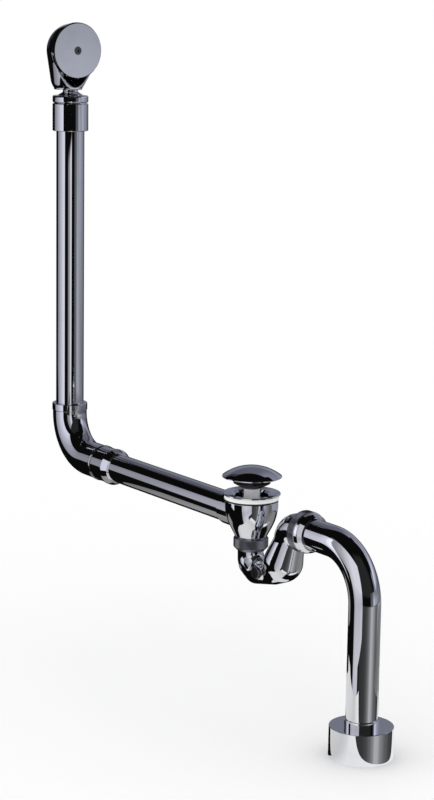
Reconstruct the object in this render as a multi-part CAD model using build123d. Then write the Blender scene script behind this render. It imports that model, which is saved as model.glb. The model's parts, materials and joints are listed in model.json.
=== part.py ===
from build123d import *

import os
from math import asin, atan2, cos, degrees, sin, sqrt

# Exposed bath waste and overflow with its own low trap
# Origin: centre of the seat under the waste flange, +X along the cross tube to the outlet, +Z up
# Driving dimensions in millimetres

# Tubes
tube_od = 38.1
tube_wall = 1.5

# Lie of the tubes about the waste
cross_run = 430.0
cross_drop = 27.0
overflow_rise = 524.0
outlet_drop = 24.0
outlet_reach = 225.0
outlet_bend = 63.0
floor_drop = 270.0

# Clearances
slip_gap = 0.1
thread_gap = 0.1
running_gap = 0.1
seat_gap = 0.3

# Roundings
fine_round = 0.6
edge_round = 0.8
rim_round = 1.0

# Tube joints: spigot, seal, slip ring and nut
thread_d = 43.2
seal_length = 5.0
slip_ring_length = 2.0
spigot_depth = 22.0
fitting_bore = 36.0

# Riser nut and the collar above it
collar_d = 48.4
collar_height = 9.2
collar_gap = 1.0
collar_chamfer = 1.0
riser_nut_length = 37.0
riser_nut_lip = 6.5
riser_joint_drop = 94.0

# Overflow head
mouth_d = 71.6
head_wall = 3.0
crown_setback = 5.0
hood_heel_d = 48.0
hood_heel_setback = 18.0
hood_heel_drop = 36.0
head_base_d = 38.0
head_base_setback = 18.0
head_base_drop = 52.5
waist_d = 20.4
waist_bore = 15.0
flare_d = 37.0
flare_height = 5.0
bridge_width = 12.0
bridge_depth = 8.0
bridge_setback = 5.0

# Overflow disc, its gasket and its screw
disc_d = 74.6
disc_reach = 19.0
disc_depth = 5.0
disc_plate = 2.5
disc_rim = 2.8
disc_bevel = 1.4
slot_width = 40.0
gasket_thickness = 2.0
gasket_overhang = 0.5
gasket_width = 5.0
screw_d = 5.0
screw_head_d = 11.0
screw_head_height = 2.4
screw_length = 20.0
socket_across = 4.0
socket_depth = 1.6

# Elbow at the foot of the riser
elbow_bend = 56.0
elbow_od = 46.8
elbow_rim_rise = 42.5
elbow_rim_d = 48.4
elbow_rim_height = 10.0
elbow_socket_depth = 22.0
elbow_mouth_d = 40.2
elbow_mouth_depth = 3.0
elbow_end_reach = 90.0
elbow_bead_d = 48.8
elbow_bead_length = 6.0
elbow_bead_round = 2.5
oring_section = 2.4
oring_drop = 12.0

# Barrel nut on the cross tube
cross_nut_d = 47.0
cross_nut_length = 37.0
cross_nut_bead_d = 49.0
cross_nut_bead_length = 4.5
cross_nut_bead_round = 3.0
cross_nut_nose_d = 41.4
cross_nut_nose_length = 9.0
cross_nut_gap = 0.5

# Waste body
body_d = 66.0
body_wall = 3.5
body_shoulder_lift = 14.5
body_shoulder_round = 62.0
body_chamber_taper = 10.5
body_floor_slope = 0.7
body_cone_d = 39.2
body_cone_length = 11.5
spout_d = 36.8
spout_bore = 31.0
spout_length = 9.5
tail_seat_height = 8.0
inlet_socket_d = 41.8
inlet_socket_reach = 46.0
inlet_stop_reach = 32.5
inlet_end_reach = 21.0

# Waste flange and its washers
flange_d = 71.0
flange_thickness = 2.0
flange_dish = 1.6
flange_round = 0.9
throat_d = 41.6
mouth_bevel = 3.7
mouth_round = 1.5
tail_d = 47.8
tail_length = 42.0
tail_slot_width = 15.0
tail_slot_top = 9.0
tail_slot_height = 22.0
tail_slots = 4
spider_arms = 3
spider_arm_width = 4.0
spider_height = 5.0
spider_hub_d = 24.0
flange_washer_d = 67.8
flange_washer_thickness = 5.5
body_washer_d = 66.0
body_washer_thickness = 2.0

# Plug, drawn raised by its full travel
plug_travel = 14.0
plug_seal_d = 45.8
plug_seal_foot_d = 23.0
plug_seal_height = 6.0
plug_seal_lip = 1.0
cap_d = 73.6
cap_dome = 12.5
cap_edge = 1.0
cap_thickness = 2.6
cap_lift = 7.0
cap_boss_d = 20.0
stem_d = 20.0
stem_length = 28.0
stem_neck_d = 8.0
stem_neck_reach = 9.0
spring_bore = 14.0
spring_bore_depth = 22.0

# Guide, spring and lock nut of the plug
guide_d = 24.0
guide_floor = 2.0
guide_length = 23.0
stud_d = 10.0
stud_length = 11.0
spring_wire = 1.4
spring_d = 13.0
spring_turns = 6
lock_nut_across = 16.0
lock_nut_height = 5.0

# Trap
trap_wall = 2.5
trap_nut_d = 42.4
trap_nut_gap = 1.0
trap_nut_height = 16.0
trap_nut_lip = 3.0
trap_nut_chamfer = 3.8
trap_washer_thickness = 2.5
trap_collar_height = 2.0
leg_d = 32.4
leg_fall = 19.0
heel_d = 34.6
heel_run = 4.0
heel_fall = 24.0
tip_d = 31.0
tip_run = 14.0
tip_fall = 32.5
sump_d = 33.0
sump_run = 50.0
sump_fall = 24.0
belly_d = 49.0
belly_run = 67.0
belly_fall = 9.0
rise_d = 38.0
rise_run = 78.0
trap_elbow_bend = 20.0
outlet_shoulder_run = 101.0
outlet_spigot_length = 17.0

# Cleaning eye
eye_run = 37.0
eye_fall = 26.0
eye_turn = 90.0
eye_boss_d = 19.0
eye_boss_reach = 17.5
eye_thread_d = 11.0
eye_head_d = 15.4
eye_head_height = 2.5
eye_thread_length = 8.0
eye_washer_thickness = 1.0
eye_socket_across = 7.0
eye_socket_depth = 2.2

# Outlet nut and floor cover
outlet_nut_d = 50.0
outlet_nut_band = 13.0
outlet_nose_length = 11.0
outlet_nose_d = 41.4
outlet_nose_step = 0.6
outlet_nose_crown = 0.45
outlet_nose_round = 4.0
cover_d = 76.4
cover_height = 38.0
cover_wall = 2.5
cover_top = 3.0
cover_neck_d = 41.4
cover_neck_height = 8.5
outlet_end_gap = 6.0

# Values that follow from the driving dimensions
tube_r = tube_od / 2
tube_bore_r = tube_r - tube_wall
socket_r = tube_r + slip_gap
thread_r = thread_d / 2
nut_bore_r = thread_r + thread_gap
riser_x = -cross_run
cross_z = -cross_drop
outlet_z = -outlet_drop
floor_z = -floor_drop
disc_face_x = riser_x + disc_reach
disc_back_x = disc_face_x - disc_depth
mouth_reach = disc_reach - disc_depth - gasket_thickness
mouth_x = riser_x + mouth_reach
riser_spigot_z = overflow_rise - riser_joint_drop
collar_lift = riser_nut_length - seal_length - slip_ring_length - riser_nut_lip + collar_gap
elbow_end_x = riser_x + elbow_end_reach
cross_spigot_x = elbow_end_x + spigot_depth
washer_seat_z = -flange_washer_thickness - body_washer_thickness
tail_r = tail_d / 2
throat_r = throat_d / 2
bevel_slope = plug_seal_height / (plug_seal_d - plug_seal_foot_d) * 2
bevel_top_z = flange_thickness - flange_dish
seal_lip_z = bevel_top_z - (throat_r + mouth_bevel - plug_seal_d / 2) * bevel_slope + seat_gap + plug_travel
seal_foot_z = seal_lip_z - plug_seal_height
seal_top_z = seal_lip_z + plug_seal_lip
cap_rim_z = seal_top_z + cap_lift
tail_end_z = -tail_length
hub_top_z = tail_end_z + spider_height
body_cone_z = tail_end_z - body_cone_length
spout_end_z = body_cone_z - spout_length
trap_washer_z = spout_end_z - trap_washer_thickness
trap_collar_z = trap_washer_z - trap_collar_height
outlet_spigot_x = outlet_shoulder_run + outlet_spigot_length
outlet_end_z = floor_z + outlet_end_gap
cover_top_z = floor_z + cover_height


def turned(*corners):
    # Solid of revolution about Z, each corner as radius, height and an optional rounding
    points = [(corner[0], 0, corner[1]) for corner in corners]
    rounding = [corner[2] if len(corner) > 2 else 0 for corner in corners]
    return revolve(make_face(FilletPolyline(*points, radius=rounding, close=True)), Axis.Z)


def rod(radius, bottom, top):
    return Pos(0, 0, bottom) * Cylinder(radius, top - bottom, align=(Align.CENTER, Align.CENTER, Align.MIN))


def ring(outer, inner, bottom, top):
    return rod(outer, bottom, top) - rod(inner, bottom, top)


def torus_ring(ring_radius, section_radius, height):
    return Pos(0, 0, height) * Torus(ring_radius, section_radius)


# Frames of the three tube joints: local +Z leaves the spigot along its tube, zero at the spigot's end
riser_joint = Pos(riser_x, 0, riser_spigot_z) * Rot(180, 0, 0)
cross_joint = Pos(cross_spigot_x, 0, cross_z) * Rot(0, 90, 0)
outlet_joint = Pos(outlet_spigot_x, 0, outlet_z) * Rot(0, 90, 0)
riser_line = Pos(riser_x, 0, 0)
disc_line = Pos(0, 0, overflow_rise) * Rot(0, 90, 0)


def joint_seal():
    return ring(thread_r, socket_r, 0, seal_length)


def joint_slip_ring():
    return ring(thread_r, socket_r, seal_length, seal_length + slip_ring_length)


# Overflow end


def overflow_disc():
    radius = disc_d / 2
    cup = turned(
        (0, disc_back_x),
        (radius, disc_back_x),
        (radius, disc_face_x - disc_bevel),
        (radius - disc_bevel, disc_face_x),
        (0, disc_face_x),
    )
    cup -= rod(radius - disc_rim, disc_back_x, disc_face_x - disc_plate)
    cup -= rod(screw_d / 2 + slip_gap, disc_back_x, disc_face_x)
    cup -= screw_head(slip_gap)
    slot_depth = disc_depth - disc_plate
    slot = Pos(radius, 0, disc_back_x + slot_depth / 2) * Box(radius, slot_width, slot_depth)
    return disc_line * (cup - slot)


def screw_head(gap):
    return turned(
        (0, disc_face_x - screw_head_height),
        (screw_d / 2 + gap, disc_face_x - screw_head_height),
        (screw_head_d / 2 + gap, disc_face_x),
        (0, disc_face_x),
    )


def disc_screw():
    body = screw_head(0) + rod(screw_d / 2, disc_face_x - screw_length, disc_face_x - screw_head_height)
    socket = extrude(RegularPolygon(socket_across / 2, 6, major_radius=False), socket_depth)
    return disc_line * (body - Pos(0, 0, disc_face_x - socket_depth) * socket)


def overflow_gasket():
    outer = mouth_d / 2 + gasket_overhang
    return disc_line * ring(outer, outer - gasket_width, mouth_x, disc_back_x)


def pear(start, start_r, end, end_r):
    # Two balls in the plane of the tubes, joined by the cone that touches both
    run = end[0] - start[0]
    climb = end[1] - start[1]
    length = sqrt(run**2 + climb**2)
    tilt = asin((start_r - end_r) / length)
    side_start = (start_r * cos(tilt), 0, start_r * sin(tilt))
    side_end = (end_r * cos(tilt), 0, length + end_r * sin(tilt))
    outline = Polyline((0, 0, side_start[2]), side_start, side_end, (0, 0, side_end[2]), close=True)
    body = revolve(make_face(outline), Axis.Z) + Sphere(start_r) + Pos(0, 0, length) * Sphere(end_r)
    return Pos(start[0], 0, start[1]) * Rot(0, degrees(atan2(run, climb)), 0) * body


def head_form(wall):
    # Short mouth, a hood that narrows downwards and a flat base, all drawn in by the wall
    mouth_r = mouth_d / 2 - wall
    base = wall - head_base_drop
    crown = (mouth_reach - crown_setback, 0)
    heel = (mouth_reach - hood_heel_setback, -hood_heel_drop)
    form = Rot(0, 90, 0) * rod(mouth_r, crown[0], mouth_reach)
    form += pear(crown, mouth_r, heel, hood_heel_d / 2 - wall)
    form += Pos(mouth_reach - head_base_setback, 0, 0) * rod(head_base_d / 2 - wall, base, heel[1])
    room = Pos(mouth_reach, 0, base) * Box(
        2 * mouth_d, 2 * mouth_d, 2 * mouth_d, align=(Align.MAX, Align.CENTER, Align.MIN)
    )
    return form & room


def overflow_head():
    # Made about the riser's line at the height of the disc, then put in place
    bridge_middle = mouth_reach - bridge_setback - bridge_depth / 2
    bridge = Pos(bridge_middle, 0, 0) * Box(bridge_depth, mouth_d, bridge_width)
    waist_r = waist_d / 2
    collar_r = collar_d / 2
    spigot_end = -riser_joint_drop
    collar_base = spigot_end + collar_lift
    collar_top = collar_base + collar_height
    tube_top = spigot_end + spigot_depth
    neck = turned(
        (0, spigot_end),
        (thread_r, spigot_end),
        (thread_r, collar_base),
        (collar_r - collar_chamfer, collar_base),
        (collar_r, collar_base + collar_chamfer),
        (collar_r, collar_top, collar_chamfer),
        (flare_d / 2, collar_top),
        (waist_r, collar_top + flare_height),
        (waist_r, -head_base_drop),
        (0, -head_base_drop),
    )
    head = head_form(0) + neck
    head -= head_form(head_wall) - bridge
    head -= rod(waist_bore / 2, tube_top, head_wall - head_base_drop)
    head -= rod(socket_r, spigot_end, tube_top)
    head -= Rot(0, 90, 0) * rod(screw_d / 2 + thread_gap, disc_reach - screw_length - slip_gap, mouth_reach)
    return Pos(riser_x, 0, overflow_rise) * head


def riser_nut():
    lip_start = seal_length + slip_ring_length
    end = lip_start + riser_nut_lip
    back = end - riser_nut_length
    radius = collar_d / 2
    return riser_joint * turned(
        (nut_bore_r, back),
        (radius - collar_chamfer, back),
        (radius, back + collar_chamfer),
        (radius, end, collar_chamfer),
        (socket_r, end),
        (socket_r, lip_start),
        (nut_bore_r, lip_start),
    )


def riser_tube():
    bottom = elbow_rim_rise - elbow_socket_depth
    return riser_line * ring(tube_r, tube_bore_r, bottom, riser_spigot_z + spigot_depth)


# Foot of the riser


def elbow_path(start, end):
    return FilletPolyline((riser_x, 0, start), (riser_x, 0, cross_z), (end, 0, cross_z), radius=elbow_bend)


def round_sweep(path, radius):
    section = Plane(origin=path @ 0, z_dir=path % 0) * Circle(radius)
    return sweep(section, path)


def elbow():
    rim_r = elbow_rim_d / 2
    body = round_sweep(elbow_path(elbow_rim_rise, elbow_end_x), elbow_od / 2)
    rim_base = elbow_rim_rise - elbow_rim_height
    body += riser_line * turned(
        (0, rim_base), (rim_r, rim_base, rim_round), (rim_r, elbow_rim_rise, rim_round), (0, elbow_rim_rise)
    )
    bead_r = elbow_bead_d / 2
    thread_start = -spigot_depth
    end = turned(
        (0, thread_start - elbow_bead_length),
        (bead_r, thread_start - elbow_bead_length, elbow_bead_round),
        (bead_r, thread_start, elbow_bead_round),
        (thread_r, thread_start),
        (thread_r, 0),
        (0, 0),
    )
    body += cross_joint * end
    socket_base = elbow_rim_rise - elbow_socket_depth
    body -= round_sweep(elbow_path(elbow_rim_rise, cross_spigot_x), fitting_bore / 2)
    body -= riser_line * rod(socket_r, socket_base, elbow_rim_rise)
    body -= riser_line * rod(elbow_mouth_d / 2, elbow_rim_rise - elbow_mouth_depth, elbow_rim_rise)
    groove_r = socket_r + oring_section
    groove_half = oring_section / 2 + slip_gap
    groove_z = elbow_rim_rise - oring_drop
    body -= riser_line * rod(groove_r + slip_gap, groove_z - groove_half, groove_z + groove_half)
    body -= cross_joint * rod(socket_r, -spigot_depth, 0)
    return body


def riser_oring():
    section_r = oring_section / 2
    return riser_line * torus_ring(socket_r + section_r, section_r, elbow_rim_rise - oring_drop)


def cross_nut():
    lip_start = seal_length + slip_ring_length
    back = cross_nut_gap - spigot_depth
    end = back + cross_nut_length
    barrel_r = cross_nut_d / 2
    bead_r = cross_nut_bead_d / 2
    nose_start = end - cross_nut_nose_length
    bead_start = nose_start - cross_nut_bead_length
    return cross_joint * turned(
        (nut_bore_r, back),
        (barrel_r, back, fine_round),
        (barrel_r, bead_start),
        (bead_r, bead_start, fine_round),
        (bead_r, nose_start, cross_nut_bead_round),
        (cross_nut_nose_d / 2, end),
        (socket_r, end),
        (socket_r, lip_start),
        (nut_bore_r, lip_start),
    )


def cross_tube():
    start = elbow_end_x
    tube = ring(tube_r, tube_bore_r, start, -inlet_stop_reach)
    return Pos(0, 0, cross_z) * Rot(0, 90, 0) * tube


# Waste


def waste_body():
    radius = body_d / 2
    chamber_r = radius - body_wall
    tail_seat_r = tail_r + thread_gap
    seat_top = tail_end_z + tail_seat_height
    spout_bore_r = spout_bore / 2
    floor_slope = (tail_seat_r - spout_bore_r) * body_floor_slope
    cup = turned(
        (0, washer_seat_z),
        (radius, washer_seat_z, edge_round),
        (radius, tail_end_z + body_shoulder_lift, body_shoulder_round),
        (body_cone_d / 2, body_cone_z, rim_round),
        (spout_d / 2, body_cone_z),
        (spout_d / 2, spout_end_z),
        (0, spout_end_z),
    )
    level = Pos(0, 0, cross_z) * Rot(0, 90, 0)
    cup += level * rod(inlet_socket_d / 2, -inlet_socket_reach, -inlet_end_reach)
    cup -= turned(
        (0, spout_end_z),
        (spout_bore_r, spout_end_z),
        (spout_bore_r, tail_end_z - floor_slope),
        (tail_seat_r, tail_end_z),
        (tail_seat_r, seat_top),
        (chamber_r, seat_top + body_chamber_taper),
        (chamber_r, washer_seat_z),
        (0, washer_seat_z),
    )
    cup -= level * rod(socket_r, -inlet_socket_reach, -inlet_stop_reach)
    cup -= level * rod(tube_bore_r, -inlet_stop_reach, -inlet_end_reach)
    return cup - rod(flange_d / 2, washer_seat_z, 0)


def waste_flange():
    radius = flange_d / 2
    bevel_r = throat_r + mouth_bevel
    bevel_foot_z = bevel_top_z - mouth_bevel * bevel_slope
    body = turned(
        (throat_r, tail_end_z),
        (tail_r, tail_end_z),
        (tail_r, 0),
        (radius, 0),
        (radius, flange_thickness, flange_round),
        (bevel_r, bevel_top_z, mouth_round),
        (throat_r, bevel_foot_z),
    )
    slot_middle = -tail_slot_top - tail_slot_height / 2
    slot = Pos(tail_r, 0, slot_middle) * Box(tail_r, tail_slot_width, tail_slot_height)
    for index in range(tail_slots):
        body -= Rot(0, 0, 360 / tail_slots * index) * slot
    arm = Pos(0, 0, tail_end_z) * Box(
        (throat_r + tail_r) / 2, spider_arm_width, spider_height, align=(Align.MIN, Align.CENTER, Align.MIN)
    )
    for index in range(spider_arms):
        body += Rot(0, 0, 360 / spider_arms * index) * arm
    body += rod(spider_hub_d / 2, tail_end_z, hub_top_z)
    return body - rod(stud_d / 2 + thread_gap, tail_end_z, hub_top_z)


def flange_washer():
    return ring(flange_washer_d / 2, tail_r + slip_gap, -flange_washer_thickness, 0)


def body_washer():
    return ring(body_washer_d / 2, tail_r + slip_gap, washer_seat_z, -flange_washer_thickness)


def dome(radius, base, rise):
    # Spherical cap of a given base radius and rise
    ball_r = (radius**2 + rise**2) / (2 * rise)
    ball = Pos(0, 0, base + rise - ball_r) * Sphere(ball_r)
    return ball & rod(radius, base, base + rise)


def plug_cap():
    radius = cap_d / 2
    cap = dome(radius, cap_rim_z + cap_edge, cap_dome) + rod(radius, cap_rim_z, cap_rim_z + cap_edge)
    cap -= dome(radius - cap_edge, cap_rim_z, cap_dome + cap_edge - cap_thickness)
    cap += rod(cap_boss_d / 2, seal_top_z, cap_rim_z + cap_edge + cap_dome - cap_thickness / 2)
    neck_top = seal_top_z + stem_neck_reach
    return cap - rod(stem_neck_d / 2 + thread_gap, seal_top_z, neck_top)


def plug_seal():
    return turned(
        (stem_neck_d / 2 + slip_gap, seal_foot_z),
        (plug_seal_foot_d / 2, seal_foot_z),
        (plug_seal_d / 2, seal_lip_z),
        (plug_seal_d / 2, seal_top_z),
        (stem_neck_d / 2 + slip_gap, seal_top_z),
    )


def plug_stem():
    foot = seal_foot_z - stem_length
    stem = rod(stem_d / 2, foot, seal_foot_z)
    stem += rod(stem_neck_d / 2, seal_foot_z, seal_top_z + stem_neck_reach)
    return stem - rod(spring_bore / 2, foot, foot + spring_bore_depth)


def plug_guide():
    sleeve = rod(guide_d / 2, hub_top_z, hub_top_z + guide_length)
    sleeve -= rod(stem_d / 2 + running_gap, hub_top_z + guide_floor, hub_top_z + guide_length)
    return sleeve + rod(stud_d / 2, hub_top_z - stud_length, hub_top_z)


def plug_spring():
    bottom = hub_top_z + guide_floor + spring_wire / 2
    top = seal_foot_z - stem_length + spring_bore_depth - spring_wire / 2
    radius = (spring_d - spring_wire) / 2
    coil = Helix((top - bottom) / spring_turns, top - bottom, radius)
    section = Plane(origin=coil @ 0, z_dir=coil % 0) * RegularPolygon(spring_wire / 2, 6)
    return Pos(0, 0, bottom) * sweep(section, coil, is_frenet=True)


def guide_nut():
    nut = extrude(RegularPolygon(lock_nut_across / 2, 6, major_radius=False), -lock_nut_height)
    nut -= rod(stud_d / 2 + thread_gap, -lock_nut_height, 0)
    return Pos(0, 0, tail_end_z) * nut


# Trap and outlet


def trap_nut():
    radius = trap_nut_d / 2
    top = body_cone_z - trap_nut_gap
    bottom = top - trap_nut_height
    lip_top = trap_collar_z - slip_gap
    lip_r = leg_d / 2 + slip_gap
    bore_r = spout_d / 2 + thread_gap
    return turned(
        (bore_r, top),
        (radius, top, edge_round),
        (radius, bottom + trap_nut_chamfer),
        (radius - trap_nut_chamfer, bottom),
        (lip_r, bottom),
        (lip_r, lip_top),
        (bore_r, lip_top),
    )


def trap_washer():
    return ring(spout_d / 2, spout_bore / 2, trap_washer_z, spout_end_z)


def trap_form(wall):
    # Inlet leg, heel, tip, sump, belly, rising leg and outlet elbow, all drawn in by the wall
    elbow_base = outlet_z - trap_elbow_bend
    rise_r = rise_d / 2 - wall
    form = rod(leg_d / 2 - wall, spout_end_z - leg_fall, trap_washer_z)
    balls = (
        ((0, spout_end_z - leg_fall), leg_d / 2 - wall),
        ((heel_run, spout_end_z - heel_fall), heel_d / 2 - wall),
        ((tip_run, spout_end_z - tip_fall), tip_d / 2 - wall),
        ((sump_run, spout_end_z - sump_fall), sump_d / 2 - wall),
        ((belly_run, spout_end_z - belly_fall), belly_d / 2 - wall),
        ((rise_run, elbow_base), rise_r),
    )
    for start, end in zip(balls, balls[1:]):
        form += pear(*start, *end)
    bend_x = rise_run + trap_elbow_bend
    section = Pos(rise_run, 0, elbow_base) * Circle(rise_r)
    form += revolve(section, Axis((bend_x, 0, elbow_base), (0, 1, 0)), 90)
    return form + Pos(bend_x, 0, outlet_z) * Rot(0, 90, 0) * rod(rise_r, 0, outlet_spigot_x - bend_x)


def eye_frame():
    return Pos(eye_run, 0, spout_end_z - eye_fall) * Rot(0, 0, -eye_turn) * Rot(0, 90, 0)


def trap_body():
    body = trap_form(0)
    body += ring(spout_d / 2 - slip_gap, leg_d / 2 - trap_wall, trap_collar_z, trap_washer_z)
    spigot_base = outlet_shoulder_run - outlet_spigot_x
    body += outlet_joint * rod(thread_r, spigot_base, 0)
    body += eye_frame() * rod(eye_boss_d / 2, 0, eye_boss_reach)
    body -= trap_form(trap_wall)
    body -= outlet_joint * rod(socket_r, spigot_base + trap_wall, 0)
    return body - eye_frame() * rod(eye_thread_d / 2 + thread_gap, 0, eye_boss_reach)


def cleaning_plug():
    seat = eye_boss_reach + eye_washer_thickness
    plug = rod(eye_thread_d / 2, seat - eye_thread_length, seat)
    plug += turned(
        (0, seat),
        (eye_head_d / 2, seat),
        (eye_head_d / 2, seat + eye_head_height, edge_round),
        (0, seat + eye_head_height),
    )
    socket = extrude(RegularPolygon(eye_socket_across / 2, 6, major_radius=False), eye_socket_depth)
    return eye_frame() * (plug - Pos(0, 0, seat + eye_head_height - eye_socket_depth) * socket)


def cleaning_washer():
    return eye_frame() * ring(
        eye_head_d / 2, eye_thread_d / 2 + slip_gap, eye_boss_reach, eye_boss_reach + eye_washer_thickness
    )


def outlet_nut():
    lip_start = seal_length + slip_ring_length
    radius = outlet_nut_d / 2
    return outlet_joint * turned(
        (nut_bore_r, -outlet_nut_band),
        (radius, -outlet_nut_band, edge_round),
        (radius, 0, fine_round),
        (radius - outlet_nose_step, 0),
        (radius - 2 * outlet_nose_step, outlet_nose_length * outlet_nose_crown, outlet_nose_round),
        (outlet_nose_d / 2, outlet_nose_length),
        (socket_r, outlet_nose_length),
        (socket_r, lip_start),
        (nut_bore_r, lip_start),
    )


def outlet_tube():
    start = outlet_shoulder_run + trap_wall
    path = FilletPolyline(
        (start, 0, outlet_z), (outlet_reach, 0, outlet_z), (outlet_reach, 0, outlet_end_z), radius=outlet_bend
    )
    return round_sweep(path, tube_r) - round_sweep(path, tube_bore_r)


def floor_cover():
    radius = cover_d / 2
    neck_top = cover_top_z + cover_neck_height
    cup = turned(
        (radius - cover_wall, floor_z),
        (radius, floor_z),
        (radius, cover_top_z, fine_round),
        (cover_neck_d / 2, cover_top_z),
        (cover_neck_d / 2, neck_top, fine_round),
        (socket_r, neck_top),
        (socket_r, cover_top_z - cover_top),
        (radius - cover_wall, cover_top_z - cover_top, rim_round),
    )
    return Pos(outlet_reach, 0, 0) * cup


pieces = {
    "overflow_disc": overflow_disc(),
    "disc_screw": disc_screw(),
    "overflow_gasket": overflow_gasket(),
    "overflow_head": overflow_head(),
    "riser_nut": riser_nut(),
    "riser_seal": riser_joint * joint_seal(),
    "riser_slip_ring": riser_joint * joint_slip_ring(),
    "riser_tube": riser_tube(),
    "elbow": elbow(),
    "riser_oring": riser_oring(),
    "cross_nut": cross_nut(),
    "cross_seal": cross_joint * joint_seal(),
    "cross_slip_ring": cross_joint * joint_slip_ring(),
    "cross_tube": cross_tube(),
    "waste_body": waste_body(),
    "waste_flange": waste_flange(),
    "flange_washer": flange_washer(),
    "body_washer": body_washer(),
    "plug_cap": plug_cap(),
    "plug_seal": plug_seal(),
    "plug_stem": plug_stem(),
    "plug_guide": plug_guide(),
    "plug_spring": plug_spring(),
    "guide_nut": guide_nut(),
    "trap_nut": trap_nut(),
    "trap_washer": trap_washer(),
    "trap_body": trap_body(),
    "cleaning_plug": cleaning_plug(),
    "cleaning_washer": cleaning_washer(),
    "outlet_nut": outlet_nut(),
    "outlet_seal": outlet_joint * joint_seal(),
    "outlet_slip_ring": outlet_joint * joint_slip_ring(),
    "outlet_tube": outlet_tube(),
    "floor_cover": floor_cover(),
}

os.makedirs("parts", exist_ok=True)
for name, piece in pieces.items():
    export_step(piece, f"parts/{name}.step")
print(len(pieces), "pieces written")
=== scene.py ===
import json
from math import cos, pi, radians, sin

import bmesh
import bpy
from mathutils import Matrix, Vector


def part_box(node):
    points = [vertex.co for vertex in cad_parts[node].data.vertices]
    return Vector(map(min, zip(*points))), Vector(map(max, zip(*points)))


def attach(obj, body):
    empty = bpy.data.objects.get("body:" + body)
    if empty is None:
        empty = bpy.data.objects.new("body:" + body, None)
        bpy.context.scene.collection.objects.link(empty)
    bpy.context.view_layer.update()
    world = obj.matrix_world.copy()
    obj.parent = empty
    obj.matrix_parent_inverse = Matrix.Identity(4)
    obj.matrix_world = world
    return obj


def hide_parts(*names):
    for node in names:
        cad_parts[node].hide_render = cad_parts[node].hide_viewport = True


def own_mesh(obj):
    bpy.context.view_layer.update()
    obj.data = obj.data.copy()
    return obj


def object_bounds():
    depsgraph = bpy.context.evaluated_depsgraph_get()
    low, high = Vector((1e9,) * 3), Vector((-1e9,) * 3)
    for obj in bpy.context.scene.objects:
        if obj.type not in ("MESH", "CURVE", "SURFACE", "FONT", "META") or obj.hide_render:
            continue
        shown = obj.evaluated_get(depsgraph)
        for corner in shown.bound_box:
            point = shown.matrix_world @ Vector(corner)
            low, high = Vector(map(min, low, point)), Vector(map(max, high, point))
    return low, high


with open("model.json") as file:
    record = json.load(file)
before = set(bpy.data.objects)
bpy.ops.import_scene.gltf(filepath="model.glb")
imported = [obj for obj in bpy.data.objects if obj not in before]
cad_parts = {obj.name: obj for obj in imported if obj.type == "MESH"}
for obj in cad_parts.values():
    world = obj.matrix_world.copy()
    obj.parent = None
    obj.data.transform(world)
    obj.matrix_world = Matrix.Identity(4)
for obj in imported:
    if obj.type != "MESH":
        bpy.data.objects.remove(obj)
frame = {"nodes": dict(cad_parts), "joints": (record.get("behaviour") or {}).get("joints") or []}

scene = bpy.context.scene
nodes = frame["nodes"]
cadLow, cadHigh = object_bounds()
print("frame loaded with", len(nodes), "nodes")


# camera at the photo's angle

shot = {
    "place": (2.1172, -1.5514, 0.6269),  # metres, in the frame of the part
    "yaw": 35.26,
    "pitch": 11.0,
    "roll": 0.864,
    "lens": 98.54,
    "sensor": 36.0,
    "farthest": 200.0,  # metres, past the edge of the floor
}


def makeCamera(shot):
    yaw, pitch, roll = (radians(shot[label]) for label in ("yaw", "pitch", "roll"))
    ahead = Vector((-cos(yaw) * cos(pitch), sin(yaw) * cos(pitch), -sin(pitch)))
    level = ahead.cross(Vector((0, 0, 1))).normalized()
    upright = level.cross(ahead)
    right = level * cos(roll) + upright * sin(roll)
    up = upright * cos(roll) - level * sin(roll)
    data = bpy.data.cameras.new("photoCamera")
    data.lens = shot["lens"]
    data.sensor_width = shot["sensor"]
    data.clip_end = shot["farthest"]
    camera = bpy.data.objects.new("photoCamera", data)
    turn = Matrix((right, up, -ahead)).transposed().to_4x4()
    camera.matrix_world = Matrix.Translation(shot["place"]) @ turn
    scene.collection.objects.link(camera)
    scene.camera = camera


makeCamera(shot)
scene.view_settings.view_transform = "Standard"
print("camera set")


# studio: white floor and world, with a dark drape and soft panels that only the metal sees

studio = {
    "middle": (-0.1, 0.0, 0.15),
    "reach": 8.0,  # distance of the far panels
    "facing": -shot["yaw"],  # turn of the camera's side of the object about Z
    "columns": 24,  # faces along a panel
    "rows": 8,  # faces up a panel
    "white": (1, 1, 1, 1),
    "floorHalf": 60.0,
    "floorHeight": cadLow[2],
    "drapeReach": 12.0,
    "drapeSplits": 3,
    "drapeLevel": 0.0035,
}

frontLine = -0.33  # Y of the cards in front
frontTint = (0.91, 0.915, 1.0)
backCorner = (-0.2212, 0.799)  # where the two backdrops meet
backTint = (0.75, 0.77, 1.0)

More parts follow.
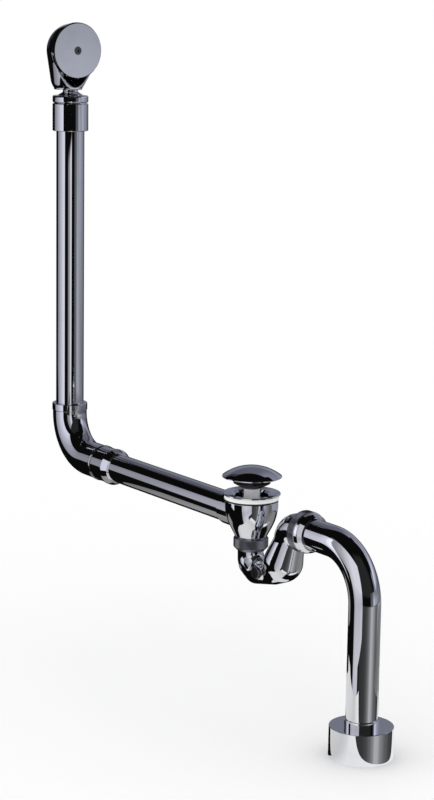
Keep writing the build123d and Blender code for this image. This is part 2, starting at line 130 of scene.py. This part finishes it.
# near cards: both ends on plan, edge heights at each end, levels along and shares up
cards = {
    "leftSoftbox": {
        "ends": ((-1.45, -0.60), (-0.27, -0.60)), "lower": (-0.12, -0.24), "upper": (0.40, 0.54),
        "across": (
            (0, 0), (0.03, 0.26), (0.33, 0.34), (0.5, 0.44),
            (0.66, 0.58), (0.86, 0.80), (0.98, 0.90), (1, 0),
        ),
        "upward": ((0, 0), (0.04, 1), (0.94, 1), (1, 0)),
        "tint": (0.86, 0.87, 1.0),
    },
    "frontCard": {
        "ends": ((-0.143, frontLine), (0.487, frontLine)),
        "lower": (-0.05, -0.05), "upper": (0.36, 0.36),
        "across": (
            (0, 0), (0.02, 0.24), (0.2, 0.32), (0.32, 0.45),
            (0.45, 0.64), (0.6, 0.80), (0.96, 0.80), (1, 0),
        ),
        "upward": ((0, 1), (0.92, 1), (1, 0)),
        "tint": frontTint,
    },
    "lowCard": {
        "ends": ((0.075, frontLine), (0.487, frontLine)),
        "lower": (-0.28, -0.24), "upper": (-0.05, -0.05),  # meets frontCard
        "across": ((0, 0), (0.04, 0.62), (0.3, 0.74), (0.9, 0.70), (1, 0)),
        "upward": ((0, 0.9), (0.5, 0.75), (1, 1)),
        "tint": frontTint,
    },
    "footCard": {
        "ends": ((0.075, frontLine), (0.31, frontLine)),
        "lower": (-0.50, -0.50), "upper": (-0.28, -0.257),  # meets lowCard
        "across": ((0, 0), (0.08, 0.66), (0.85, 0.74), (1, 0)),
        "upward": ((0, 1), (0.6, 1), (1, 0.9)),
        "tint": frontTint,
    },
    "backdropLeft": {
        "ends": ((-1.10, 0.11), backCorner), "lower": (-0.05, -0.05), "upper": (1.40, 1.40),
        "across": ((0, 0), (0.077, 0.14), (0.654, 0.17), (0.96, 0.30), (1, 0.303)),
        "upward": ((0, 0), (0.117, 0.2), (0.281, 0.5), (0.369, 1), (0.93, 1), (1, 0)),
        "tint": backTint,
    },
    "backdropRight": {
        "ends": (backCorner, (2.28, 2.76)), "lower": (-0.05, -0.05), "upper": (1.02, 1.02),
        "across": ((0, 0.303), (0.122, 0.40), (0.23, 0.48), (0.446, 0.58), (1, 0.66)),
        "upward": ((0, 0), (0.16, 0.2), (0.38, 0.5), (0.5, 1), (0.93, 1), (1, 0)),
        "tint": backTint,
    },
}

# far panels: degrees right of the camera with a level, degrees above the horizon with a share
panels = {
    "rightStrip": {
        "across": (
            (37, 0), (41, 0.13), (53, 0.15), (58, 0.42),
            (61, 0.58), (65, 0.56), (67, 0.50), (71, 0),
        ),
        "upward": ((-13, 0), (-11.5, 1), (-6, 1), (-0.5, 0.74), (2, 0.58), (5, 0.4), (7, 0)),
        "tint": (0.84, 0.88, 1.0),
    },
    "rightWall": {
        "across": (
            (65, 0), (71, 0.52), (82, 0.40), (93, 0.32),
            (104, 0.26), (118, 0.22), (136, 0.18), (150, 0),
        ),
        "upward": ((-13, 0), (-11.5, 1), (-6, 1), (-0.5, 0.74), (2, 0.62), (5, 0.5), (9, 0)),
        "tint": (0.82, 0.86, 1.0),
    },
    "rightMid": {
        "across": ((76, 0), (84, 0.28), (120, 0.32), (160, 0.26), (172, 0)),
        "upward": ((3, 0), (8, 1), (20, 1), (28, 0)),
        "tint": (0.78, 0.80, 1.0),
    },
    "rightEdge": {
        "across": ((90, 0), (104, 0.32), (150, 0.34), (172, 0.26), (180, 0)),
        "upward": ((-19.5, 0), (-18, 1), (-13.5, 1), (-12.5, 0)),
        "tint": (0.82, 0.84, 1.0),
    },
    "lowerRight": {
        "across": (
            (-34, 0), (-29, 0.03), (0, 0.04), (14, 0.065), (26, 0.13), (36, 0.24),
            (46, 0.46), (54, 0.44), (68, 0.24), (88, 0.12), (112, 0.06), (144, 0),
        ),
        "upward": ((-46, 0), (-40, 1), (-13.2, 1), (-12, 0)),
        "tint": (0.97, 0.98, 1.0),
    },
    "cameraSide": {
        "across": ((-24, 0), (-14, 0.016), (50, 0.018), (66, 0)),
        "upward": ((-2, 0), (4, 1), (58, 1), (70, 0)),
        "tint": (0.97, 1.0, 0.97),
    },
    "backCard": {
        "across": ((160, 0), (170, 0.21), (194, 0.20), (208, 0.06), (238, 0)),
        "upward": ((2, 0), (7, 1), (20, 1), (30, 0)),
        "tint": (0.74, 0.80, 1.0),
    },
}

# painted reflection of the lit floor, seen only by the metal: front and back of each line across,
# with a glow level that stands in for the floor's light; where the patches leave gaps under the
# object, the dark drape shows through as painted shadow of the object on the floor
paintedFloorLight = {
    "footPaintedFloor": (
        ((-0.16, -0.13), (-0.16, -0.11), 0.50),
        ((-0.095, -0.205), (-0.10, -0.10), 0.72),
        ((-0.085, -0.21), (-0.09, 0.10), 0.70),
        ((-0.06, -0.23), (-0.06, 0.12), 0.75),
        ((0.0, -0.235), (0.0, 0.12), 0.75),
        ((0.03, -0.24), (0.02, 0.10), 0.75),
        ((0.09, -0.25), (0.05, 0.09), 0.74),
        ((0.14, -0.25), (0.085, -0.036), 0.72),
        ((0.205, -0.25), (0.203, -0.042), 0.62),
        ((0.30, -0.25), (0.13, 0.33), 0.86),
        ((0.342, -0.25), (0.166, 0.35), 0.90),
    ),
    "backPaintedFloor": (
        ((-0.10, 0.30), (-0.10, 0.75), 0.24),
        ((0.20, 0.24), (0.20, 0.75), 0.24),
        ((0.42, 0.22), (0.42, 0.75), 0.16),
    ),
    "riserPaintedFloor": (
        ((-0.60, -0.22), (-0.60, 0.04), 0.20),
        ((-0.40, -0.22), (-0.40, 0.04), 0.30),
        ((-0.31, -0.20), (-0.31, 0.04), 0.24),
    ),
}


def grey(level):
    return (level, level, level, 1)


def between(low, high, share):
    return low + (high - low) * share


def linkAll(tree, pairs):
    for start, end in pairs:
        tree.links.new(start, end)


def stagePiece(name, mesh, material, metalOnly):
    mesh.materials.append(material)
    thing = bpy.data.objects.new(name, mesh)
    scene.collection.objects.link(thing)
    thing.visible_camera = not metalOnly
    thing.visible_diffuse = not metalOnly
    thing.visible_shadow = not metalOnly
    thing.visible_transmission = not metalOnly
    thing.visible_glossy = metalOnly  # the floor's own white stays out of the metal


def glowMaterial(name, seeThrough=False):
    material = bpy.data.materials.new(name)
    material.use_nodes = True
    tree = material.node_tree
    tree.nodes.clear()
    glow = tree.nodes.new("ShaderNodeEmission")
    shown = glow
    if seeThrough:
        clear = tree.nodes.new("ShaderNodeBsdfTransparent")
        shown = tree.nodes.new("ShaderNodeAddShader")
        linkAll(tree, ((glow.outputs[0], shown.inputs[0]), (clear.outputs[0], shown.inputs[1])))
    out = tree.nodes.new("ShaderNodeOutputMaterial")
    tree.links.new(shown.outputs[0], out.inputs["Surface"])
    return material, tree, glow.inputs["Color"]


def rampOf(tree, stops):
    ramp = tree.nodes.new("ShaderNodeValToRGB")
    ramp.color_ramp.interpolation = "EASE"
    elements = ramp.color_ramp.elements
    ready = len(elements)
    first, last = stops[0][0], stops[-1][0]
    for number, (place, level) in enumerate(stops):
        position = (place - first) / (last - first)
        element = elements[number] if number < ready else elements.new(position)
        element.position = position
        element.color = grey(level)
    return ramp


def panelGlow(name, panel):
    material, tree, colour = glowMaterial(name, seeThrough=True)
    place = tree.nodes.new("ShaderNodeUVMap")
    split = tree.nodes.new("ShaderNodeSeparateXYZ")
    across = rampOf(tree, panel["across"])
    upward = rampOf(tree, panel["upward"])
    both = tree.nodes.new("ShaderNodeVectorMath")
    tinted = tree.nodes.new("ShaderNodeVectorMath")
    both.operation = tinted.operation = "MULTIPLY"
    tinted.inputs[1].default_value = panel["tint"]
    linkAll(tree, (
        (place.outputs["UV"], split.inputs[0]),
        (split.outputs["X"], across.inputs["Fac"]),
        (split.outputs["Y"], upward.inputs["Fac"]),
        (across.outputs["Color"], both.inputs[0]),
        (upward.outputs["Color"], both.inputs[1]),
        (both.outputs[0], tinted.inputs[0]),
        (tinted.outputs[0], colour),
    ))
    return material


def farPlace(panel):
    left, right = panel["across"][0][0], panel["across"][-1][0]
    low, high = panel["upward"][0][0], panel["upward"][-1][0]
    middle = Vector(studio["middle"])

    def placeAt(u, v):
        turn = radians(studio["facing"] + between(left, right, u))
        rise = radians(between(low, high, v))
        away = Vector((cos(turn) * cos(rise), sin(turn) * cos(rise), sin(rise)))
        return middle + away * studio["reach"]

    return placeAt


def nearPlace(card):
    start, end = (Vector((*place, 0)) for place in card["ends"])

    def placeAt(u, v):
        low, high = between(*card["lower"], u), between(*card["upper"], u)
        return start.lerp(end, u) + Vector((0, 0, between(low, high, v)))

    return placeAt


def studioPanel(name, panel, placeAt):
    columns, rows = studio["columns"], studio["rows"]
    step = columns + 1
    places = [(column / columns, row / rows) for row in range(rows + 1) for column in range(step)]
    corners = [row * step + column for row in range(rows) for column in range(columns)]
    faces = [(corner, corner + 1, corner + step + 1, corner + step) for corner in corners]
    mesh = bpy.data.meshes.new(name)
    mesh.from_pydata([placeAt(*place) for place in places], [], faces)
    layer = mesh.uv_layers.new(name="UVMap")
    for loop in mesh.loops:
        layer.data[loop.index].uv = places[loop.vertex_index]
    stagePiece(name, mesh, panelGlow(name, panel), True)


def studioDrape():
    ball = bmesh.new()
    bmesh.ops.create_icosphere(ball, subdivisions=studio["drapeSplits"], radius=studio["drapeReach"])
    mesh = bpy.data.meshes.new("drape")
    ball.to_mesh(mesh)
    ball.free()
    material, _, colour = glowMaterial("drape")
    colour.default_value = grey(studio["drapeLevel"])
    stagePiece("drape", mesh, material, True)


# patch of painted floor reflection: it glows at each line's level as painted light of the floor,
# seen only by the metal
def paintedFloorPatch(name, lines):
    height = studio["floorHeight"]
    points = [(*place, height) for front, back, level in lines for place in (front, back)]
    faces = [(at, at + 2, at + 3, at + 1) for at in range(0, len(points) - 2, 2)]
    mesh = bpy.data.meshes.new(name)
    mesh.from_pydata(points, [], faces)
    layer = mesh.color_attributes.new("level", "FLOAT_COLOR", "POINT")
    for number, point in enumerate(layer.data):
        point.color = grey(lines[number // 2][2])
    material, tree, colour = glowMaterial(name)
    level = tree.nodes.new("ShaderNodeAttribute")
    level.attribute_name = "level"
    tree.links.new(level.outputs["Color"], colour)
    stagePiece(name, mesh, material, True)


def studioFloor():
    half, height = studio["floorHalf"], studio["floorHeight"]
    corners = ((-half, -half), (half, -half), (half, half), (-half, half))
    mesh = bpy.data.meshes.new("floor")
    mesh.from_pydata([(*corner, height) for corner in corners], [], [(0, 1, 2, 3)])
    material = bpy.data.materials.new("floorWhite")
    material.use_nodes = True
    surface = material.node_tree.nodes["Principled BSDF"]
    surface.inputs["Base Color"].default_value = studio["white"]
    surface.inputs["Roughness"].default_value = 1
    surface.inputs["Specular IOR Level"].default_value = 0
    stagePiece("floor", mesh, material, False)


def studioWorld():
    world = bpy.data.worlds.new("studioWorld")
    world.use_nodes = True
    ground = world.node_tree.nodes["Background"]
    ground.inputs["Color"].default_value = studio["white"]
    ground.inputs["Strength"].default_value = 1
    scene.world = world


studioWorld()
studioFloor()
studioDrape()
# painted floor reflection, with the object's shadow on the floor painted as the gaps between patches
for name, lines in paintedFloorLight.items():
    paintedFloorPatch(name, lines)
for name, panel in panels.items():
    studioPanel(name, panel, farPlace(panel))
for name, card in cards.items():
    studioPanel(name, card, nearPlace(card))
print("studio set with", len(panels) + len(cards), "panels")


# shared effects

noises = {
    "roughness": 0.55,
    "broadDetail": 3.0,
    "fineDetail": 2.0,
    "rippleDetail": 1.0,
    "hazeScale": 420.0,
    "speckScale": 900.0,
    "smear": (0.48, 0.74),  # from clean plate to full smear
    "haze": (0.35, 0.7),
    "hazeShare": (0.5, 1.0),  # of a smear that shows through the haze
    "dust": (0.45, 0.7),
    "grain": (0.3, 0.7),
    "grainDepth": 0.0002,
}


def feed(tree, given, socket):
    if isinstance(given, (int, float)):
        socket.default_value = given
    else:
        tree.links.new(given, socket)


def groupOf(name, values, results):
    group = bpy.data.node_groups.new(name, "ShaderNodeTree")
    group.interface.new_socket("Vector", in_out="INPUT", socket_type="NodeSocketVector")
    for way, labels in (("INPUT", values), ("OUTPUT", results)):
        for label in labels:
            group.interface.new_socket(label, in_out=way, socket_type="NodeSocketFloat")
    return group, group.nodes.new("NodeGroupInput"), group.nodes.new("NodeGroupOutput")


def noiseIn(tree, vector, scale, detail):
    noise = tree.nodes.new("ShaderNodeTexNoise")
    noise.inputs["Detail"].default_value = detail
    noise.inputs["Roughness"].default_value = noises["roughness"]
    tree.links.new(vector, noise.inputs["Vector"])
    feed(tree, scale, noise.inputs["Scale"])
    return noise.outputs["Fac"]


def spanIn(tree, value, start, end):
    span = tree.nodes.new("ShaderNodeMapRange")
    span.interpolation_type = "SMOOTHSTEP"
    tree.links.new(value, span.inputs["Value"])
    for label, given in zip(("From Min", "From Max", "To Min", "To Max"), (*start, *end)):
        feed(tree, given, span.inputs[label])
    return span.outputs["Result"]


def productIn(tree, first, second):
    product = tree.nodes.new("ShaderNodeMath")
    product.operation = "MULTIPLY"
    tree.links.new(first, product.inputs[0])
    tree.links.new(second, product.inputs[1])
    return product.outputs[0]


def makeHandling():
    # smears of handling and a fine haze over polished plate
    group, given, made = groupOf(
        "handling", ("Smear scale", "Clean", "Smeared"), ("Roughness", "Film")
    )
    vector = given.outputs["Vector"]
    broad = noiseIn(group, vector, given.outputs["Smear scale"], noises["broadDetail"])
    fine = noiseIn(group, vector, noises["hazeScale"], noises["fineDetail"])
    smear = spanIn(group, broad, noises["smear"], (0.0, 1.0))
    haze = spanIn(group, fine, noises["haze"], noises["hazeShare"])
    film = productIn(group, smear, haze)
    ends = (given.outputs["Clean"], given.outputs["Smeared"])
    rough = spanIn(group, film, (0.0, 1.0), ends)
    linkAll(group, ((rough, made.inputs["Roughness"]), (film, made.inputs["Film"])))
    return group


def makeDust():
    # pale dust that gathers on matte parts
    group, given, made = groupOf("dust", ("Scale", "Amount"), ("Mask", "Grain"))
    vector = given.outputs["Vector"]
    patch = noiseIn(group, vector, given.outputs["Scale"], noises["broadDetail"])
    speck = noiseIn(group, vector, noises["speckScale"], noises["fineDetail"])
    cover = spanIn(group, patch, noises["dust"], (0.0, given.outputs["Amount"]))
    mask = productIn(group, cover, speck)
    linkAll(group, ((mask, made.inputs["Mask"]), (speck, made.inputs["Grain"])))
    return group


handling = makeHandling()
dust = makeDust()


def startMaterial(name):
    material = bpy.data.materials.new(name)
    material.use_nodes = True
    tree = material.node_tree
    vector = tree.nodes.new("ShaderNodeTexCoord").outputs["Object"]
    return material, tree, tree.nodes["Principled BSDF"], vector


def useGroup(tree, group, vector, values):
    node = tree.nodes.new("ShaderNodeGroup")
    node.node_tree = group
    tree.links.new(vector, node.inputs["Vector"])
    for label, value in values.items():
        node.inputs[label].default_value = value
    return node.outputs


def blendColours(tree, mask, low, high):
    mix = tree.nodes.new("ShaderNodeMix")
    mix.data_type = "RGBA"
    tree.links.new(mask, mix.inputs["Factor"])
    ends = {"A": low, "B": high}
    for socket in mix.inputs:
        if socket.type == "RGBA":
            socket.default_value = (*ends[socket.name], 1)
    return next(socket for socket in mix.outputs if socket.type == "RGBA")


def addBump(tree, surface, height, strength, distance):
    bump = tree.nodes.new("ShaderNodeBump")
    bump.inputs["Strength"].default_value = strength
    bump.inputs["Distance"].default_value = distance
    tree.links.new(height, bump.inputs["Height"])
    tree.links.new(bump.outputs["Normal"], surface.inputs["Normal"])


def makeChrome(name, finish):
    material, tree, surface, vector = startMaterial(name)
    surface.inputs["Metallic"].default_value = finish.get("metal", 1)
    values = {
        "Smear scale": finish["smearScale"], "Clean": finish["clean"], "Smeared": finish["smeared"],
    }
    marks = useGroup(tree, handling, vector, values)
    tree.links.new(marks["Roughness"], surface.inputs["Roughness"])
    tone = blendColours(tree, marks["Film"], finish["plate"], finish["film"])
    tree.links.new(tone, surface.inputs["Base Color"])
    ripple = noiseIn(tree, vector, finish["rippleScale"], noises["rippleDetail"])
    addBump(tree, surface, ripple, finish["ripple"], finish["rippleDepth"])
    return material


def makeRubber(name, finish):
    material, tree, surface, vector = startMaterial(name)
    values = {"Scale": finish["patch"], "Amount": finish["bloom"]}
    bloom = useGroup(tree, dust, vector, values)
    tone = blendColours(tree, bloom["Mask"], finish["colour"], finish["dusty"])
    tree.links.new(tone, surface.inputs["Base Color"])
    rough = spanIn(tree, bloom["Grain"], noises["grain"], (finish["smooth"], finish["rough"]))
    tree.links.new(rough, surface.inputs["Roughness"])
    addBump(tree, surface, bloom["Grain"], finish["bump"], noises["grainDepth"])
    return material


chromeFinishes = {
    "tubeChrome": {
        "plate": (0.86, 0.865, 0.89), "film": (0.80, 0.80, 0.82), "clean": 0.012, "smeared": 0.05,
        "smearScale": 22.0, "rippleScale": 30.0, "ripple": 0.05, "rippleDepth": 0.0006,
    },
    "castChrome": {
        "plate": (0.85, 0.86, 0.885), "film": (0.78, 0.78, 0.81), "clean": 0.015, "smeared": 0.06,
        "smearScale": 30.0, "rippleScale": 55.0, "ripple": 0.05, "rippleDepth": 0.0008,
    },
    "turnedChrome": {
        "plate": (0.86, 0.865, 0.89), "film": (0.80, 0.80, 0.82), "clean": 0.012, "smeared": 0.05,
        "smearScale": 34.0, "rippleScale": 40.0, "ripple": 0.04, "rippleDepth": 0.0005,
    },
    # knurled chrome: its plate is darkened far below chrome's own tone, as painted shade of the
    # knurl's fine grooves; the roughness is the knurl's own
    "knurlChromePaintedShade": {
        "plate": (0.34, 0.34, 0.36), "film": (0.24, 0.24, 0.25), "clean": 0.36, "smeared": 0.52,
        "smearScale": 80.0, "rippleScale": 300.0, "ripple": 0.1, "rippleDepth": 0.0003,
    },
    "springSteel": {
        "plate": (0.60, 0.60, 0.62), "film": (0.45, 0.44, 0.43), "clean": 0.22, "smeared": 0.38,
        "smearScale": 120.0, "rippleScale": 500.0, "ripple": 0.1, "rippleDepth": 0.0001,
    },
    # plug stem, guide and guide nut: satin nickel turned a pale, almost non-metal white, as painted
    # light that brightens the stem in the shade of the flange's dish
    "satinNickelPaintedLight": {
        "plate": (0.95, 0.95, 0.96), "film": (0.84, 0.84, 0.86), "clean": 0.22, "smeared": 0.34,
        "smearScale": 90.0, "rippleScale": 300.0, "ripple": 0.05, "rippleDepth": 0.0001,
        "metal": 0.1,
    },
    "screwSteel": {
        "plate": (0.20, 0.20, 0.21), "film": (0.12, 0.12, 0.12), "clean": 0.28, "smeared": 0.42,
        "smearScale": 150.0, "rippleScale": 400.0, "ripple": 0.1, "rippleDepth": 0.0001,
    },
}

softFinishes = {
    "blackRubber": {
        "colour": (0.018, 0.018, 0.020), "dusty": (0.16, 0.155, 0.15), "patch": 70.0, "bloom": 0.35,
        "smooth": 0.50, "rough": 0.72, "bump": 0.25,
    },
    "whiteWasher": {
        "colour": (0.90, 0.90, 0.88), "dusty": (0.62, 0.60, 0.57), "patch": 60.0, "bloom": 0.4,
        "smooth": 0.45, "rough": 0.65, "bump": 0.12,
    },
    "slipNylon": {
        "colour": (0.80, 0.80, 0.77), "dusty": (0.55, 0.53, 0.50), "patch": 80.0, "bloom": 0.3,
        "smooth": 0.40, "rough": 0.60, "bump": 0.10,
    },
}

finishes = {name: makeChrome(name, finish) for name, finish in chromeFinishes.items()}
finishes.update({name: makeRubber(name, finish) for name, finish in softFinishes.items()})
print("finishes made:", len(finishes))

# which finish each solid of the part wears
worn = {
    "tubeChrome": ("riser_tube", "cross_tube", "outlet_tube"),
    "castChrome": ("overflow_head", "elbow", "waste_body", "trap_body"),
    "turnedChrome": (
        "overflow_disc", "riser_nut", "cross_nut", "waste_flange", "plug_cap", "outlet_nut",
        "floor_cover",
    ),
    "satinNickelPaintedLight": ("plug_stem", "plug_guide", "guide_nut"),
    "knurlChromePaintedShade": ("trap_nut",),
    "screwSteel": ("disc_screw", "cleaning_plug"),
    "springSteel": ("plug_spring",),
    "blackRubber": (
        "overflow_gasket", "riser_seal", "riser_oring", "cross_seal", "body_washer", "plug_seal",
        "trap_washer", "cleaning_washer", "outlet_seal",
    ),
    "whiteWasher": ("flange_washer",),
    "slipNylon": ("riser_slip_ring", "cross_slip_ring", "outlet_slip_ring"),
}


def wear(piece, material):
    if not piece.material_slots:
        piece.data.materials.append(material)
    for slot in piece.material_slots:
        slot.material = material


for finish, names in worn.items():
    for name in names:
        wear(nodes[name], finishes[finish])
print("finishes worn by", sum(len(names) for names in worn.values()), "solids")


# cast pieces get the soft corners of a casting, from a merged copy of their solids

skin = {
    "weld": 1e-6,  # corners of the solid closer than this are one
    "voxel": 0.0009,  # of the merged copy
    "easing": 0.5,
}
castings = {
    "trapCasting": {
        "node": "trap_body", "rounds": 14,
        "low": (-1.0, -1.0, -1.0), "high": (1.0, 1.0, 1.0),  # soft all over
    },
    "headCasting": {
        "node": "overflow_head", "rounds": 12,
        "low": (-1.0, -1.0, 0.4735), "high": (-0.4215, 1.0, 1.0),  # rim and collar stay crisp
    },
}


def settleMesh(piece):
    graph = bpy.context.evaluated_depsgraph_get()
    mesh = bpy.data.meshes.new_from_object(piece.evaluated_get(graph))
    piece.modifiers.clear()
    piece.data = mesh


def isWithin(place, low, high):
    return all(least <= value <= most for least, value, most in zip(low, place, high))


def makeCasting(name, casting):
    shell = bmesh.new()
    shell.from_mesh(nodes[casting["node"]].data)
    bmesh.ops.remove_doubles(shell, verts=shell.verts, dist=skin["weld"])
    mesh = bpy.data.meshes.new(name)
    shell.to_mesh(mesh)
    shell.free()
    piece = bpy.data.objects.new(name, mesh)
    scene.collection.objects.link(piece)
    remesh = piece.modifiers.new("skin", "REMESH")
    remesh.mode = "VOXEL"
    remesh.voxel_size = skin["voxel"]
    settleMesh(piece)
    low, high = casting["low"], casting["high"]
    soft = [point.index for point in piece.data.vertices if isWithin(point.co, low, high)]
    piece.vertex_groups.new(name="cast").add(soft, 1.0, "REPLACE")
    ease = piece.modifiers.new("ease", "SMOOTH")
    ease.factor = skin["easing"]
    ease.iterations = casting["rounds"]
    ease.vertex_group = "cast"
    settleMesh(piece)
    piece.data.materials.clear()
    piece.data.materials.append(finishes["castChrome"])
    piece.data.shade_smooth()
    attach(piece, "fittings")
    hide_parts(casting["node"])


for name, casting in castings.items():
    makeCasting(name, casting)
print("castings made:", len(castings))


# forms grown by geometry nodes

def startTree(name, inputs):
    tree = bpy.data.node_groups.new(name, "GeometryNodeTree")
    face = tree.interface
    face.new_socket("Geometry", in_out="OUTPUT", socket_type="NodeSocketGeometry")
    ids = {}
    placing = {"Middle": "Vector", "Turn": "Vector", "Finish": "Material"}
    for label, kind in {**inputs, **placing}.items():
        socket = face.new_socket(label, in_out="INPUT", socket_type="NodeSocket" + kind)
        ids[label] = socket.identifier
    return tree, ids, tree.nodes.new("NodeGroupInput").outputs


def endTree(tree, given, grown):
    # moves the form to its place, makes it real and gives it its finish
    move = tree.nodes.new("GeometryNodeTransform")
    real = tree.nodes.new("GeometryNodeRealizeInstances")
    paint = tree.nodes.new("GeometryNodeSetMaterial")
    out = tree.nodes.new("NodeGroupOutput")
    linkAll(tree, (
        (grown, move.inputs["Geometry"]),
        (given["Middle"], move.inputs["Translation"]),
        (given["Turn"], move.inputs["Rotation"]),
        (move.outputs[0], real.inputs[0]),
        (real.outputs[0], paint.inputs["Geometry"]),
        (given["Finish"], paint.inputs["Material"]),
        (paint.outputs[0], out.inputs[0]),
    ))


def growPiece(name, tree, ids, values):
    piece = bpy.data.objects.new(name, bpy.data.meshes.new(name))
    layer = piece.modifiers.new("grown", "NODES")
    layer.node_group = tree
    for label, value in values.items():
        layer[ids[label]] = value
    scene.collection.objects.link(piece)
    settleMesh(piece)
    return piece


# fine straight knurl on the two hand nuts

knurls = {
    "trapKnurl": {
        "middle": (0.0, 0.0, -0.0608), "turn": (0.0, 0.0, 0.0),
        "radius": 0.0211, "length": 0.0104, "ridges": 120, "ridge": 0.0006,
    },
    "outletKnurl": {
        "middle": (0.1115, 0.0, -0.024), "turn": (0.0, pi / 2, 0.0),
        "radius": 0.0249, "length": 0.0112, "ridges": 142, "ridge": 0.0006,
    },
}
barSides = 4  # each ridge is a square bar on edge


def knurlTree():
    tree, ids, given = startTree(
        "knurlRing", {"Radius": "Float", "Length": "Float", "Ridges": "Int", "Ridge": "Float"}
    )
    circle = tree.nodes.new("GeometryNodeMeshCircle")
    ridge = tree.nodes.new("GeometryNodeMeshCylinder")
    ridge.inputs["Vertices"].default_value = barSides
    place = tree.nodes.new("GeometryNodeInstanceOnPoints")
    index = tree.nodes.new("GeometryNodeInputIndex")
    share = tree.nodes.new("ShaderNodeMath")
    share.operation = "DIVIDE"
    angle = tree.nodes.new("ShaderNodeMath")
    angle.operation = "MULTIPLY"
    angle.inputs[1].default_value = 2 * pi
    spin = tree.nodes.new("ShaderNodeCombineXYZ")
    linkAll(tree, (
        (given["Ridges"], circle.inputs["Vertices"]),
        (given["Radius"], circle.inputs["Radius"]),
        (given["Ridge"], ridge.inputs["Radius"]),
        (given["Length"], ridge.inputs["Depth"]),
        (circle.outputs["Mesh"], place.inputs["Points"]),
        (ridge.outputs["Mesh"], place.inputs["Instance"]),
        (index.outputs[0], share.inputs[0]),
        (given["Ridges"], share.inputs[1]),
        (share.outputs[0], angle.inputs[0]),
        (angle.outputs[0], spin.inputs["Z"]),
        (spin.outputs[0], place.inputs["Rotation"]),
    ))
    endTree(tree, given, place.outputs[0])
    return tree, ids


# the knurl ridges wear the knurled chrome, whose dark plate is painted shade
def makeKnurl(name, knurl, tree, ids):
    values = {label.capitalize(): value for label, value in knurl.items()}
    piece = growPiece(name, tree, ids, {**values, "Finish": finishes["knurlChromePaintedShade"]})
    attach(piece, "fittings")


ringTree, ringIds = knurlTree()
for name, knurl in knurls.items():
    makeKnurl(name, knurl, ringTree, ringIds)
print("knurls made:", len(knurls))


# round-wire coil under the plug; how far the plug's travel would shorten it is printed

coil = {
    "node": "plug_spring",
    "joint": "plug_lift",
    "wire": 0.0014,  # its diameter
    "turns": 6.0,
    "steps": 40,  # points in a turn
    "sides": 10,  # of the wire
}


def coilTree():
    tree, ids, given = startTree("plugCoil", {
        "Radius": "Float", "Height": "Float", "Wire": "Float",
        "Turns": "Float", "Steps": "Int", "Sides": "Int",
    })
    spiral = tree.nodes.new("GeometryNodeCurveSpiral")
    section = tree.nodes.new("GeometryNodeCurvePrimitiveCircle")
    wire = tree.nodes.new("GeometryNodeCurveToMesh")
    wire.inputs["Fill Caps"].default_value = True
    linkAll(tree, (
        (given["Steps"], spiral.inputs["Resolution"]),
        (given["Turns"], spiral.inputs["Rotations"]),
        (given["Radius"], spiral.inputs["Start Radius"]),
        (given["Radius"], spiral.inputs["End Radius"]),
        (given["Height"], spiral.inputs["Height"]),
        (given["Sides"], section.inputs["Resolution"]),
        (given["Wire"], section.inputs["Radius"]),
        (spiral.outputs["Curve"], wire.inputs["Curve"]),
        (section.outputs["Curve"], wire.inputs["Profile Curve"]),
    ))
    endTree(tree, given, wire.outputs["Mesh"])
    return tree, ids


def makeCoil(name, coil):
    low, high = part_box(coil["node"])
    wire = coil["wire"] / 2
    height = high[2] - low[2]
    middle = ((low[0] + high[0]) / 2, (low[1] + high[1]) / 2)
    piece = growPiece(name, *coilTree(), {
        "Radius": (high[1] - low[1]) / 2 - wire, "Height": height - 2 * wire, "Wire": wire,
        "Turns": coil["turns"], "Steps": coil["steps"], "Sides": coil["sides"],
        "Middle": (*middle, low[2] + wire), "Finish": finishes["springSteel"],
    })
    piece.data.shade_smooth()
    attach(piece, "fittings")
    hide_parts(coil["node"])
    joint = next(joint for joint in frame["joints"] if joint["name"] == coil["joint"])
    travel = max(abs(limit) for limit in joint["range_m"])
    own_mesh(piece)
    print("coil made, down to", round(1 - travel / height, 3), "of its length")


makeCoil("plugCoil", coil)
